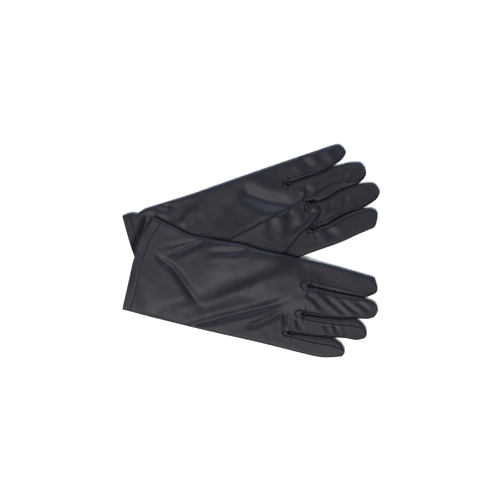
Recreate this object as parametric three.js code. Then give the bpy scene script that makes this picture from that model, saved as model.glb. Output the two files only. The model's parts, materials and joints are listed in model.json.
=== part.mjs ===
// A pair of wrist-length satin dress gloves lying flat, the left glove across the right one, both palm up.
// Millimetres, +Z up, the surface they lie on is z = 0. Each glove is cut as it is sewn: a palm side and a
// back side for the hand and for each finger, fourchettes between the fingers, a thumb set in at the side,
// a turned hem with its stitching, and the seams that close the side and the thumb.
import * as THREE from "three";

// Cloth
const cloth = 0.6; // one layer of satin
const hemCloth = 1.2; // the hem is the cloth turned under once
const gap = 0.3; // air between pieces that touch
const thread = 0.5; // thickness of a line of stitching

// Hand
const handLoft = 6; // height of the empty hand, lying flat
const fingerLoft = 4.6; // height of an empty finger
const thumbLoft = 2.2; // height of the flattened thumb
const loftFrom = 118; // the hand thins to the finger's height between these two distances from the cuff
const loftTo = 148;
const hemWidth = 7.5;
const stitchSpan = 0.97; // share of the cuff's width that a row of stitching reaches across
const stitchCells = 14;
const sideSeamInset = [8, 13]; // the side seam ends this far from the hem and from the fingers
const flatShare = 0.8; // share of a panel's half width that lies flat before its edge rolls over

// Fingers
const foldClearance = 1.6; // air each side of the line that a finger folds on
const tipRound = 11; // length of the rounded fingertip
const tipBlunt = 0.42; // width of the very tip, as a share of the finger's width
const fourchetteEdge = 0.4; // how far an edge that meets a fourchette rolls over, as a share of a closed one
const fourchetteShare = 0.86; // share of the finger that a fourchette reaches along

// Thumb
const thumbInset = 5; // how far inside the hand's side the thumb is set in
const thumbBendAlong = 18; // where its inner side turns towards the fingers, from the start of its root
const thumbBendIn = 6; // and how far inside its own width

// Drape of the upper glove over the lower one
const drapeReach = 9; // distance over which the cloth bridges an edge
const drapeCell = 2; // spacing of the grid that the drape is worked out on
const drapeGrid = [-40, -80, 160, 80]; // where that grid starts in the glove's frame, and its cells each way
const drapeClearance = 1; // air under the draped cloth, which lies in flat facets

// How each glove lies: where its cuff is, which way it points, the edges of its hand and its fingers.
// In a glove's own frame x runs from the cuff to the fingertips and y towards the index finger.
// edges holds the lines that part the fingers, from the index finger's outer edge to the little finger's:
// the y of each where the fingers part and, further out, where they end.
const rightLay = {
  side: "right",
  cuff: [-105.5, -10],
  heading: 19,
  mirror: true,
  cuffSkew: 0,
  indexEdge: [[0, 45.5]],
  pinkyEdge: [[0, -45]],
  edges: [[44.4, 42.2], [24.2, 20.6], [1.5, -1.2], [-22, -23.8], [-43.4, -43.2]],
  fingers: {
    index: { foldAt: 163, length: 61 },
    middle: { foldAt: 182, length: 51 },
    ring: { foldAt: 170, length: 57 },
    pinky: { foldAt: 158, length: 57 },
  },
  thumb: { fold: [134, 18], turn: -12, foldWidth: 33, tipWidth: 20, length: 41.5, rootFrom: 48, rootTo: 116 },
  thumbBends: true,
  rows: 10, // cells along the hand
};
const leftLay = {
  side: "left",
  cuff: [-103.9, -11.4],
  heading: -12.5,
  mirror: false,
  cuffSkew: 9.5,
  indexEdge: [[0, 45], [38, 36.2], [78, 37.6]],
  pinkyEdge: [[0, -45], [60, -46.8]],
  edges: [[36.8, 35.4], [13.2, 14.1], [-13.1, -7.4], [-32, -27], [-47.8, -47]],
  fingers: {
    index: { foldAt: 158, length: 62 },
    middle: { foldAt: 159, length: 66 },
    ring: { foldAt: 159, length: 60.5 },
    pinky: { foldAt: 151, length: 52 },
  },
  thumb: { fold: [132, 16], turn: -12, foldWidth: 32, tipWidth: 20, length: 40, rootFrom: 50, rootTo: 112 },
  thumbBends: false,
  rows: 24,
};
const partAt = 155; // distance from the cuff where the fingers part
const endAt = 205; // and where the edges between them end
const fingerClearance = 0.8; // between one finger and the next

const fingerNames = ["index", "middle", "ring", "pinky"];
const fourchettes = { index: ["inner"], middle: ["outer", "inner"], ring: ["outer", "inner"], pinky: ["outer"] };
const sideSign = { outer: 1, inner: -1 }; // outer faces the index side, inner faces the pinky side

const satin = new THREE.MeshStandardMaterial({ color: 0x2c2c33, roughness: 0.45, metalness: 0 });
const gusset = new THREE.MeshStandardMaterial({ color: 0x26262c, roughness: 0.5, metalness: 0 });
const hem = new THREE.MeshStandardMaterial({ color: 0x2a2a31, roughness: 0.48, metalness: 0 });
const stitch = new THREE.MeshStandardMaterial({ color: 0x131317, roughness: 0.7, metalness: 0 });

const { clamp, lerp, smoothstep, degToRad, radToDeg } = THREE.MathUtils;

// The value at x of a line through points, eased between them.
function alongEdge(points, x) {
  const last = points.length - 1;
  for (let i = 0; i < last; i++) {
    const [x0, y0] = points[i];
    const [x1, y1] = points[i + 1];
    if (x <= x1 || i === last - 1) return lerp(y0, y1, smoothstep(x, x0, x1));
  }
  return points[last][1];
}

// The y of the edge between two fingers at x, counted from the index finger's outer edge.
const edgeAt = (lay, i, x) => lerp(...lay.edges[i], (x - partAt) / (endAt - partAt));

// A finger fills the space between its two edges: its fold, its direction and its widths follow from them.
function fingerBetween(lay, name) {
  const i = fingerNames.indexOf(name);
  const { foldAt, length } = lay.fingers[name];
  const centre = (x) => (edgeAt(lay, i, x) + edgeAt(lay, i + 1, x)) / 2;
  const width = (x) => edgeAt(lay, i, x) - edgeAt(lay, i + 1, x) - fingerClearance;
  const turn = radToDeg(Math.atan2(centre(foldAt + length) - centre(foldAt), length));
  const [rootWidth, tipWidth] = [width(foldAt), width(foldAt + length)];
  return { fold: [foldAt, centre(foldAt)], turn, rootWidth, tipWidth, length };
}

// The two sides of the hand, from the cuff to where the fingers part.
const indexSideAt = (lay, x) => alongEdge([...lay.indexEdge, [partAt, lay.edges[0][0]]], x);
const pinkySideAt = (lay, x) => alongEdge([...lay.pinkyEdge, [partAt, lay.edges[4][0]]], x);

// How far the cuff's edge stands back from the wrist line at y, where the glove lies a little askew.
const cuffAt = (lay, y) => lay.cuffSkew * (smoothstep(y, 0, lay.indexEdge[0][1]) - 0.45);

// Height of the glove's upper surface above what it lies on, at a distance from the cuff.
const loftAt = (x) => lerp(handLoft, fingerLoft, smoothstep(x, loftFrom, loftTo));

// A point of a group that is turned in the glove's own frame, carried into that frame.
function fromTurned([x0, y0], turn, x, y) {
  const a = degToRad(turn);
  return [x0 + x * Math.cos(a) - y * Math.sin(a), y0 + x * Math.sin(a) + y * Math.cos(a)];
}

// From a glove's frame to the common frame, and back.
function toWorld(lay, x, y) {
  return fromTurned(lay.cuff, lay.heading, x, lay.mirror ? -y : y);
}
function toLay(lay, wx, wy) {
  const a = degToRad(-lay.heading);
  const [dx, dy] = [wx - lay.cuff[0], wy - lay.cuff[1]];
  const y = dx * Math.sin(a) + dy * Math.cos(a);
  return [dx * Math.cos(a) - dy * Math.sin(a), lay.mirror ? -y : y];
}

// Half width of a finger or thumb at a distance from its fold, with the tip rounded off.
function halfWidthAt(piece, foldWidth, s) {
  const straight = lerp(foldWidth, piece.tipWidth, smoothstep(s, 0, piece.length - tipRound)) / 2;
  const t = Math.max(0, (s - piece.length + tipRound) / tipRound);
  return straight * lerp(Math.sqrt(Math.max(0, 1 - t * t)), 1, tipBlunt * t * t);
}

// The thumb's base lies between two curves that run from the side of the hand to the fold.
function thumbBaseAt(lay, u, v) {
  const { fold, turn, foldWidth, rootFrom, rootTo } = lay.thumb;
  const root = (x) => new THREE.Vector2(x, indexSideAt(lay, x) - thumbInset);
  const foldEnd = (side) => new THREE.Vector2(...fromTurned(fold, turn, -foldClearance, (side * foldWidth) / 2));
  const innerBend = new THREE.Vector2(rootFrom + thumbBendAlong, fold[1] - foldWidth / 2 + thumbBendIn);
  const inner = new THREE.QuadraticBezierCurve(root(rootFrom), innerBend, foldEnd(-1));
  const outer = new THREE.LineCurve(root(rootTo), foldEnd(1));
  return inner.getPoint(u).lerp(outer.getPoint(u), v);
}

// Whether a point of the glove's frame is covered by its thumb.
function underThumb(lay, x, y) {
  const { fold, turn, foldWidth, length, rootFrom } = lay.thumb;
  const a = degToRad(turn);
  const s = (x - fold[0]) * Math.cos(a) + (y - fold[1]) * Math.sin(a);
  const across = -(x - fold[0]) * Math.sin(a) + (y - fold[1]) * Math.cos(a);
  if (s >= -foldClearance) return s <= length && Math.abs(across) <= foldWidth / 2;
  return x >= rootFrom && across >= -foldWidth / 2 && y <= indexSideAt(lay, x);
}

// Whether a point of the glove's frame is over its hand or its fingers.
function underHand(lay, x, y) {
  const reach = Math.max(...Object.values(lay.fingers).map(({ foldAt, length }) => foldAt + length));
  return x >= 0 && x <= reach && y <= indexSideAt(lay, x) && y >= pinkySideAt(lay, x);
}

// The height of a heap at each cell of a grid, bridged and smoothed as a cloth laid over it would be:
// the highest point within reach, then the mean within reach, which is never below the heap.
function drapeOver(heap) {
  const [x0, y0, nx, ny] = drapeGrid;
  const reach = Math.round(drapeReach / drapeCell);
  const disc = [];
  for (let i = -reach; i <= reach; i++)
    for (let j = -reach; j <= reach; j++) if (i * i + j * j <= reach * reach) disc.push([i, j]);
  const cell = (field, i, j) => field[clamp(i, 0, nx - 1) * ny + clamp(j, 0, ny - 1)];
  const fill = (f) => Float64Array.from({ length: nx * ny }, (_, k) => f(Math.floor(k / ny), k % ny));
  const heights = fill((i, j) => heap(x0 + i * drapeCell, y0 + j * drapeCell));
  const bridged = fill((i, j) => Math.max(...disc.map(([a, b]) => cell(heights, i + a, j + b))));
  const smooth = fill((i, j) => disc.reduce((sum, [a, b]) => sum + cell(bridged, i + a, j + b), 0) / disc.length);
  return (x, y) => {
    const [u, v] = [(x - x0) / drapeCell, (y - y0) / drapeCell];
    const [i, j] = [Math.floor(u), Math.floor(v)];
    const low = lerp(cell(smooth, i, j), cell(smooth, i + 1, j), u - i);
    const high = lerp(cell(smooth, i, j + 1), cell(smooth, i + 1, j + 1), u - i);
    return lerp(low, high, v - j);
  };
}

// What lies under the left glove: the right glove with its thumb, and then the left glove's own thumb.
function rightHeap(x, y) {
  const [rx, ry] = toLay(rightLay, ...toWorld(leftLay, x, y));
  const hand = underHand(rightLay, rx, ry) ? handLoft + drapeClearance : 0;
  return hand && underThumb(rightLay, rx, ry) ? hand + thumbLoft + gap : hand;
}

// What lies under the left hand: the same, and the left thumb wherever it is folded under the hand.
function leftHeap(x, y) {
  const thumbTop = overRight(x, y) + thumbLoft + gap + drapeClearance;
  return Math.max(rightHeap(x, y), underThumb(leftLay, x, y) ? thumbTop : 0);
}

// A thin closed solid: a box of nu by nv cells, each of its vertices put where place(u, v, side) says,
// with u and v from 0 to 1 and side 1 on its upper face or 0 on its lower one.
function sheet(name, [nu, nv], material, place) {
  const geometry = new THREE.BoxGeometry(1, 1, 1, nu, nv, 1);
  const position = geometry.attributes.position;
  for (let i = 0; i < position.count; i++) {
    const at = place(position.getX(i) + 0.5, position.getY(i) + 0.5, position.getZ(i) > 0 ? 1 : 0);
    position.setXYZ(i, ...at);
  }
  const mesh = new THREE.Mesh(geometry, material);
  mesh.name = name;
  return mesh;
}

// A line of stitching: a thin square strip along points.
function stitching(name, points) {
  const last = points.length - 1;
  return sheet(name, [last, 1], stitch, (u, v, side) => {
    const i = Math.round(u * last);
    const along = points[Math.min(i + 1, last)].clone().sub(points[Math.max(i - 1, 0)]);
    const across = new THREE.Vector3(-along.y, along.x, 0).setLength((v - 0.5) * thread);
    const up = (side - 0.5) * thread;
    return points[i].clone().add(across).add(new THREE.Vector3(0, 0, up)).toArray();
  });
}

// How far a panel's edge has rolled over at v, from -1 to 1 across it: nothing where it lies flat.
const rollAt = (v) => Math.pow(Math.max(0, (Math.abs(v) - flatShare) / (1 - flatShare)), 2);

// The height of one face of a panel. layer is 1 for the panel that lies uppermost and 0 for the lower one,
// side is its upper or lower face, roll is how far its edge has rolled over, from 0 to 1.
function panelHeight(loft, layer, side, roll, thickness) {
  const turned = roll * (loft / 2 - gap / 2 - thickness);
  return layer ? loft - turned - (1 - side) * thickness : turned + side * thickness;
}

// The hand between the hem and the folds of the fingers, as one layer. Its columns meet the fingers' edges.
function handPanel(lay, name, layer, lift) {
  const ends = [...fingerNames].reverse().flatMap((f) => {
    const { fold, turn, rootWidth } = fingerBetween(lay, f);
    return [-1, 1].map((side) => fromTurned(fold, turn, -foldClearance, (side * rootWidth) / 2).reverse());
  });
  const wide = (t, x) => (t > 0 ? indexSideAt(lay, x) : -pinkySideAt(lay, x)) * t;
  const between = ends.slice(1, -1).map(([y]) => y / Math.abs(wide(Math.sign(y), partAt)));
  const bounds = [-1, -0.93, -flatShare, ...between, flatShare, 0.93, 1];
  const columns = bounds.flatMap((t, i) => (t - bounds[i - 1] > 0.16 ? [(t + bounds[i - 1]) / 2, t] : [t]));
  return sheet(name, [lay.rows, columns.length - 1], satin, (u, v, side) => {
    const t = columns[Math.round(v * (columns.length - 1))];
    const start = hemWidth + thread + gap + cuffAt(lay, wide(t, 0));
    const x = lerp(start, alongEdge(ends, wide(t, partAt)), u);
    const y = wide(t, x);
    return [x, y, lift(x, y) + panelHeight(loftAt(x), layer, side, rollAt(t), cloth)];
  });
}

function hemPanel(lay, name, layer, lift) {
  return sheet(name, [1, 10], hem, (u, v, side) => {
    const t = 2 * v - 1;
    const y = (t > 0 ? indexSideAt(lay, 0) : -pinkySideAt(lay, 0)) * t;
    const x = cuffAt(lay, y) + u * (hemWidth - gap);
    return [x, y, lift(x, y) + panelHeight(handLoft, layer, side, rollAt(t), hemCloth)];
  });
}

// One row of the hem's stitching, in the gap behind the hem, half way through the cloth.
function hemStitching(lay, name, layer, lift) {
  const points = Array.from({ length: stitchCells + 1 }, (_, i) => {
    const t = lerp(-stitchSpan, stitchSpan, i / stitchCells);
    const y = (t > 0 ? indexSideAt(lay, 0) : -pinkySideAt(lay, 0)) * t;
    const x = cuffAt(lay, y) + hemWidth + thread / 2;
    return new THREE.Vector3(x, y, lift(x, y) + panelHeight(handLoft, layer, 0.5, rollAt(t), cloth));
  });
  return stitching(name, points);
}

// The seam that joins palm and back along the pinky side.
function sideSeam(lay, name, lift) {
  const points = Array.from({ length: stitchCells + 1 }, (_, i) => {
    const x = lerp(hemWidth + sideSeamInset[0], partAt - sideSeamInset[1], i / stitchCells);
    const y = pinkySideAt(lay, x) - gap - thread / 2;
    return new THREE.Vector3(x, y, lift(x, y) + loftAt(x) / 2);
  });
  return stitching(name, points);
}

// One finger as its palm side, its back side and its fourchettes, in a group placed at its fold.
function finger(lay, name, lift) {
  const piece = fingerBetween(lay, name);
  const group = new THREE.Group();
  group.position.set(piece.fold[0], piece.fold[1], 0);
  group.rotation.z = degToRad(piece.turn);
  const wall = gap + cloth;
  const liftHere = (s, y) => lift(...fromTurned(piece.fold, piece.turn, s, y));
  const hasFourchette = (t) => fourchettes[name].includes(t > 0 ? "outer" : "inner");
  const sheetHalf = (s, t) => Math.max(halfWidthAt(piece, piece.rootWidth, s) - (hasFourchette(t) ? wall : 0), cloth);
  const sideRoll = (t) => rollAt(t) * (hasFourchette(t) ? fourchetteEdge : 1);
  const layers = { palm: 1, back: 0 };
  for (const [face, layer] of Object.entries(layers))
    group.add(
      sheet(`${lay.side}_${name}_${face}`, [8, 5], satin, (u, v, side) => {
        const t = 2 * v - 1;
        const s = lerp(foldClearance, piece.length, Math.pow(u, 0.8));
        const y = sheetHalf(s, t) * t;
        const tip = Math.pow(Math.max(0, (s - piece.length + tipRound / 2) / (tipRound / 2)), 2);
        const roll = Math.max(sideRoll(t), tip);
        return [s, y, liftHere(s, y) + panelHeight(fingerLoft, layer, side, roll, cloth)];
      }),
    );
  for (const facing of fourchettes[name]) {
    const sign = sideSign[facing];
    const edge = panelHeight(fingerLoft, 0, 0, fourchetteEdge, cloth);
    group.add(
      sheet(`${lay.side}_${name}_fourchette_${facing}`, [7, 1], gusset, (u, v, side) => {
        const s = lerp(foldClearance, piece.length * fourchetteShare, u);
        const inner = sheetHalf(s, sign) + gap;
        const y = sign > 0 ? inner + v * cloth : -inner - (1 - v) * cloth;
        return [s, y, liftHere(s, y) + (side ? fingerLoft - edge : edge)];
      }),
    );
  }
  return group;
}

// The free end of the thumb, from its fold to its rounded tip.
function thumbTipAt(lay, u, v) {
  const { fold, turn, foldWidth, length } = lay.thumb;
  const s = lerp(foldClearance, length, u);
  return new THREE.Vector2(...fromTurned(fold, turn, s, halfWidthAt(lay.thumb, foldWidth, s) * (2 * v - 1)));
}
const thumbAt = (lay, u, v) => (u < 0.5 ? thumbBaseAt(lay, 2 * u, v) : thumbTipAt(lay, 2 * u - 1, v));

// The thumb, flattened: an upper and a lower layer, each in two lengths where the thumb is free to bend.
function thumb(lay, lift) {
  const lengths = lay.thumbBends ? { thumb_base: thumbBaseAt, thumb_tip: thumbTipAt } : { thumb: thumbAt };
  const layers = { upper: 1, lower: 0 };
  const group = new THREE.Group();
  for (const [part, placeAt] of Object.entries(lengths))
    for (const [face, layer] of Object.entries(layers))
      group.add(
        sheet(`${lay.side}_${part}_${face}`, [lay.thumbBends ? 8 : 20, 6], satin, (u, v, side) => {
          const { x, y } = placeAt(lay, u, v);
          return [x, y, lift(x, y) + panelHeight(thumbLoft, layer, side, rollAt(2 * v - 1), cloth)];
        }),
      );
  const seam = [0.25, 0.35, 0.45, 0.55, 0.65, 0.75, 0.85, 0.95].map((u) => {
    const at = thumbBaseAt(lay, u, 0);
    const out = at.clone().sub(thumbBaseAt(lay, u, 1)).normalize().multiplyScalar(gap + thread);
    at.add(out);
    return new THREE.Vector3(at.x, at.y, lift(at.x, at.y) + thumbLoft / 2);
  });
  group.add(stitching(`${lay.side}_thumb_seam`, seam));
  return group;
}

function glove(lay, handLift, thumbLift) {
  const group = new THREE.Group();
  group.position.set(lay.cuff[0], lay.cuff[1], 0);
  group.rotation.z = degToRad(lay.heading);
  group.scale.y = lay.mirror ? -1 : 1;
  group.add(
    handPanel(lay, `${lay.side}_palm_panel`, 1, handLift),
    handPanel(lay, `${lay.side}_back_panel`, 0, handLift),
    hemPanel(lay, `${lay.side}_palm_hem`, 1, handLift),
    hemPanel(lay, `${lay.side}_back_hem`, 0, handLift),
    hemStitching(lay, `${lay.side}_palm_hem_stitching`, 1, handLift),
    hemStitching(lay, `${lay.side}_back_hem_stitching`, 0, handLift),
    sideSeam(lay, `${lay.side}_side_seam`, handLift),
    thumb(lay, thumbLift),
  );
  for (const name of fingerNames) group.add(finger(lay, name, handLift));
  return group;
}

const onFloor = () => 0;
const onRightPalm = () => handLoft + gap;
const overRight = drapeOver(rightHeap);
const overThumb = drapeOver(leftHeap);

const pair = new THREE.Group();
pair.add(glove(rightLay, onFloor, onRightPalm), glove(leftLay, overThumb, overRight));

// The origin is under the middle of the pair.
const middle = new THREE.Box3().setFromObject(pair, true).getCenter(new THREE.Vector3());
pair.position.set(-middle.x, -middle.y, 0);

export default pair;
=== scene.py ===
# A pair of wrist-length satin dress gloves laid flat, one across the other, both palm up.
import json
import math
import bpy
import numpy as np
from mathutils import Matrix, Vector


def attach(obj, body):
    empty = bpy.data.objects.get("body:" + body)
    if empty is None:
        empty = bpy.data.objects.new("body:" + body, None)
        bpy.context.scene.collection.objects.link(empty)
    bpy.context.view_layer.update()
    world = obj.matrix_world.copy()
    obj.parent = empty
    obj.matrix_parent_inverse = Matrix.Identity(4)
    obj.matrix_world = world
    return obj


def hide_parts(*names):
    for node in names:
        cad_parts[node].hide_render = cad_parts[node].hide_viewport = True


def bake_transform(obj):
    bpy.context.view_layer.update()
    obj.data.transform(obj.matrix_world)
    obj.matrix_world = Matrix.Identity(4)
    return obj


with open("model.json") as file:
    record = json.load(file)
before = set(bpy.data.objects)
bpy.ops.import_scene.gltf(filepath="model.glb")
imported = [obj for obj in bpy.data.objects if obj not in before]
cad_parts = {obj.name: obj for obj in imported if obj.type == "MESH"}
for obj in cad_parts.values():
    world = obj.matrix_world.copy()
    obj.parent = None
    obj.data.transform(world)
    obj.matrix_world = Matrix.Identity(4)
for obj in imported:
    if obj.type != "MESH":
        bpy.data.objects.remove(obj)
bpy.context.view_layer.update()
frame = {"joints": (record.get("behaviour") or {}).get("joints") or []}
joints = {j["name"]: j for j in frame["joints"]}
mm = 0.001

camera = {                     # looks straight down
    "height": 1.09,            # above the table, in metres
    "lens": 85.0,              # mm, on a 36 mm sensor
    "centre": (-0.00075, 0.0019),
}
camData = bpy.data.cameras.new("camera")
camData.lens = camera["lens"]
camData.sensor_width = 36.0
camObj = bpy.data.objects.new("camera", camData)
camObj.location = (*camera["centre"], camera["height"])
bpy.context.scene.collection.objects.link(camObj)
bpy.context.scene.camera = camObj


def ease(a, b, x):
    t = np.clip((x - a) / (b - a), 0, 1)
    return t * t * (3 - 2 * t)


def mix(a, b, t):
    return a + (b - a) * t


def rounded(q, radius):  # 0 at an edge, 1 a radius in from it, on a quarter circle
    t = np.clip(q / radius, 0, 1)
    return np.sqrt(np.clip(1 - (1 - t) ** 2, 0, 1))


def throughPoints(points, count=200):  # a smooth curve through points, evenly spaced along it
    p = np.array(points, float)
    p = np.vstack([2 * p[0] - p[1], p, 2 * p[-1] - p[-2]])
    out = []
    for i in range(1, len(p) - 2):
        a, b, c, d = p[i - 1:i + 3]
        t = np.linspace(0, 1, 24, endpoint=False)[:, None]
        bend = (2 * a - 5 * b + 4 * c - d) * t**2
        out.append(0.5 * (2 * b + (c - a) * t + bend + (3 * b - a - 3 * c + d) * t**3))
    dense = np.vstack(out + [p[-2:-1]])
    run = np.concatenate([[0], np.cumsum(np.linalg.norm(np.diff(dense, axis=0), axis=1))])
    at = np.linspace(0, run[-1], count)
    return np.column_stack([np.interp(at, run, dense[:, k]) for k in range(p.shape[1])])


def nearestOn(curve, xy):  # distance to a curve, share of the way along it, and the side
    best = np.full(len(xy), 1e9)
    along = np.zeros(len(xy))
    side = np.zeros(len(xy))
    seg = np.linalg.norm(np.diff(curve, axis=0), axis=1)
    run = np.concatenate([[0], np.cumsum(seg)])
    for i in range(len(curve) - 1):
        a, b = curve[i], curve[i + 1]
        d = b - a
        t = np.clip(((xy - a) @ d) / max(d @ d, 1e-9), 0, 1)
        off = xy - (a + t[:, None] * d)
        dist = np.hypot(off[:, 0], off[:, 1])
        closer = dist < best
        best = np.where(closer, dist, best)
        along = np.where(closer, (run[i] + t * seg[i]) / run[-1], along)
        side = np.where(closer, np.sign(d[0] * off[:, 1] - d[1] * off[:, 0]), side)
    return best, along, side


class Lumps:  # smooth seeded unevenness over a plane
    def __init__(self, seed, size, count=40):
        rng = np.random.default_rng(seed)
        angle = rng.uniform(0, 2 * math.pi, count)
        wave = 2 * math.pi / (size * rng.uniform(0.7, 1.6, count))
        self.k = np.column_stack([wave * np.cos(angle), wave * np.sin(angle)])
        self.phase = rng.uniform(0, 2 * math.pi, count)

    def __call__(self, xy):
        return np.sin(xy @ self.k.T + self.phase).sum(1) / math.sqrt(len(self.phase))


# Lengths are millimetres in a glove's own frame: x from the cuff to the fingertips, y towards the index.
# lines part the fingers, from the index finger's outer edge to the little finger's, starting at the cuff.
# tips close each finger: the outer and inner side of its tip, and the very end between them.

cloth = {
    "thick": 0.45,
    "hemThick": 0.9,
    "fingerLoft": 4.3,     # how high a finger and the hand stand, empty
    "handLoft": 5.2,
    "edgeShare": 0.4,      # how far up that height the cloth's edge lies
    "foldRound": 3.2,      # how far in the cloth turns down to a folded edge, and to a gap
    "gapRound": 2.6,
}
seamLook = {
    "widest": 4.4,
    "loop": 4.6,           # how long the seam takes to swing round a crotch
    "groove": 0.78,
    "grooveWidth": 0.38,
    "lip": 0.14,
    "pucker": 0.1,
    "puckerEvery": 2.7,
}
hemLook = {"width": 7.5, "raise": 0.12, "groove": 0.35, "grooveWidth": 0.34, "lastRow": 8}
crotchLook = {"deep": 3.4, "long": 2.3, "wide": 1.5, "crinkle": 0.3, "rays": 6}
fingerNames = ["index", "middle", "ring", "pinky"]

rightGlove = {
    "side": "right",
    "mirror": True,
    "hinges": {"index": 163, "middle": 182, "ring": 170, "pinky": 158},
    "anchors": {"index": (163, 33.836), "pinky": (158, -32.748)},
    "lines": [
        [(-1, 45.4), (60, 45), (143, 44.5), (163, 44.4), (183, 44.2), (202, 42.4)],
        [(-0.5, 23), (75, 24), (140, 25), (155, 24.2), (163, 24), (177, 24), (190, 21.7), (200, 20.6),
         (211, 21)],
        [(-0.8, 0), (75, -1), (140, -4), (162.7, -3.3), (169, -0.6), (177, 2.1), (187, 1.3),
         (198, -1.2), (214, -1.4)],
        [(-0.6, -22), (75, -21.5), (140, -21), (150, -21.2), (157, -22.7), (167, -22.9), (186, -22.4),
         (198, -24.3)],
        [(0.9, -45), (9.6, -44.9), (15.5, -42.4), (22, -44), (33, -43.8), (66, -42.8), (96, -43),
         (154, -43.3), (193, -43.2), (203, -43.2)],
    ],
    "crotches": [157, 163, 149],
    "hollows": [164, 172, 156],
    "strips": {        # how far each side seam lies in from the gap, by the distance from the cuff
        "index_inner": [(157, 2.7), (170, 3.5), (190, 4.2), (206, 3.8), (220, 2.5)],
        "middle_outer": [(163, 3.0), (173, 3.4), (190, 3.2), (212, 1.8), (226, 1.5)],
        "middle_inner": [(163, 1.2), (220, 1.0)],
        "ring_outer": [(160, 3), (171, 5.2), (179, 8.6), (186, 9.6), (193, 8.8), (201, 7), (212, 4.6),
                       (223, 1.6)],
        "ring_inner": [(149, 2.2), (175, 1.2), (220, 1.0)],
        "pinky_outer": [(150, 3.5), (159, 4.3), (168, 3.2), (178, 3.3), (192, 1.2), (212, 1.0)],
    },
    "tips": {
        "index": (
            [(212, 41.7), (217.5, 41), (221, 36.8), (223.5, 32)],
            (224.2, 28.8),
            [(216.2, 22.2), (220, 23.4), (223, 25.8)],
        ),
        "middle": (
            [(217, 20.2), (222, 19.1), (226.5, 17.6), (230.3, 15.1)],
            (232.8, 11.5),
            [(219.2, -0.9), (225, 0), (229.8, 2.3), (232.2, 6.9)],
        ),
        "ring": (
            [(219, -2.8), (223, -4.6), (226, -8)],
            (226.8, -13),
            [(205.6, -23.7), (213, -23.5), (218, -22.4), (224, -20), (226, -17)],
        ),
        "pinky": (
            [(203.5, -25.8), (208, -27.2), (212, -29.6)],
            (215, -32.5),
            [(210.5, -42.3), (213.1, -39.5), (214.6, -36)],
        ),
    },
    "thumb": {
        "inner": [(58, 37), (66, 24), (84.9, 9.2), (108.3, 4.9), (139.1, 0.3), (160, -3.2), (165, -1.6),
                  (169, 1.3), (172.6, 4.6)],
        "outer": [(112, 38.5), (130.4, 36), (139.9, 31.4), (149.9, 25.3), (158, 22.4), (166.8, 18.3),
                  (170.8, 15.7), (173.8, 12.9)],
        "end": (174.9, 9.6),
        "loft": 3.0,
        "radius": 2.4,
        "seamIn": 7.4,
        "groove": 0.8,
        "roll": 0.9,
        "hinge": 134,
        "folds": [
            {"path": [(163, -2.6), (163.8, 0), (163.6, 3.3), (164.6, 7.3)],
             "depth": 1.8, "width": (1.2, 1.6), "lip": 0.5},
            {"path": [(148.5, 0), (146, 12), (139, 23)], "depth": 1.0, "width": (3.6, 4.6), "lip": 0.5},
            {"path": [(130, -1), (127.6, 11), (121, 23)], "depth": 0.8, "width": (3, 4), "lip": 0.5},
            {"path": [(160, -5), (160.8, 7.7), (153, 16.5), (143, 21)],
             "depth": 0.9, "width": (3.6, 4.4), "lip": 0.0},
        ],
    },
    "folds": [
        {"path": [(49, -17), (58, -24.5), (70, -30.5)], "depth": -0.8, "width": (3.4, 4.5), "lip": 0.5},
        {"path": [(26, -40), (21.6, -33), (12, -21), (2.6, -10), (0, 0)],
         "depth": 3.0, "width": (4.4, 5.2), "lip": 0.0},
        {"path": [(110, -33), (120, -23), (131, -14), (143, -7), (156, -1)],
         "depth": 2.1, "width": (6, 6), "lip": 0.3},
        {"path": [(34, -43), (40, -40.5), (47, -37.6)], "depth": 1.7, "width": (3, 3.5), "lip": 0.4},
        {"path": [(70, 22), (90, 7), (115, 1), (140, -3), (156, -6)],
         "depth": -1.1, "width": (9, 6), "lip": 0.0},
        {"path": [(62, 2), (76, -12), (94, -22), (112, -28)],
         "depth": 0.6, "width": (7, 8), "lip": 0.5},
        {"path": [(172, -44), (176.7, -34.7), (181.3, -27.0)],
         "depth": 0.9, "width": (4, 4), "lip": 0.5},
        {"path": [(198, -43), (199.6, -34.1), (200, -27.9)],
         "depth": -0.6, "width": (4, 3.5), "lip": 0.3},
        {"path": [(168.8, -15.5), (170.2, -9.0), (165.1, -4.7)],
         "depth": 0.9, "width": (2.6, 2.6), "lip": 0.5},
        {"path": [(202, -9.6), (206.1, -10.6), (209, -12)],
         "depth": 0.8, "width": (1.4, 1.6), "lip": 0.5},
        {"path": [(178.7, 15.8), (183.8, 11.5), (188.1, 6.9)],
         "depth": 1.0, "width": (1.3, 1.5), "lip": 0.6, "crisp": 1.4},
        {"path": [(202.4, 7), (198, 12.8), (192.9, 17.1)], "depth": 0.6, "width": (2.6, 3), "lip": 0.5},
        {"path": [(171.7, 25.6), (176.7, 32.2), (179.2, 39.1)],
         "depth": 0.8, "width": (3, 4), "lip": 0.5},
    ],
    "seed": 3,
}

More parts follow.
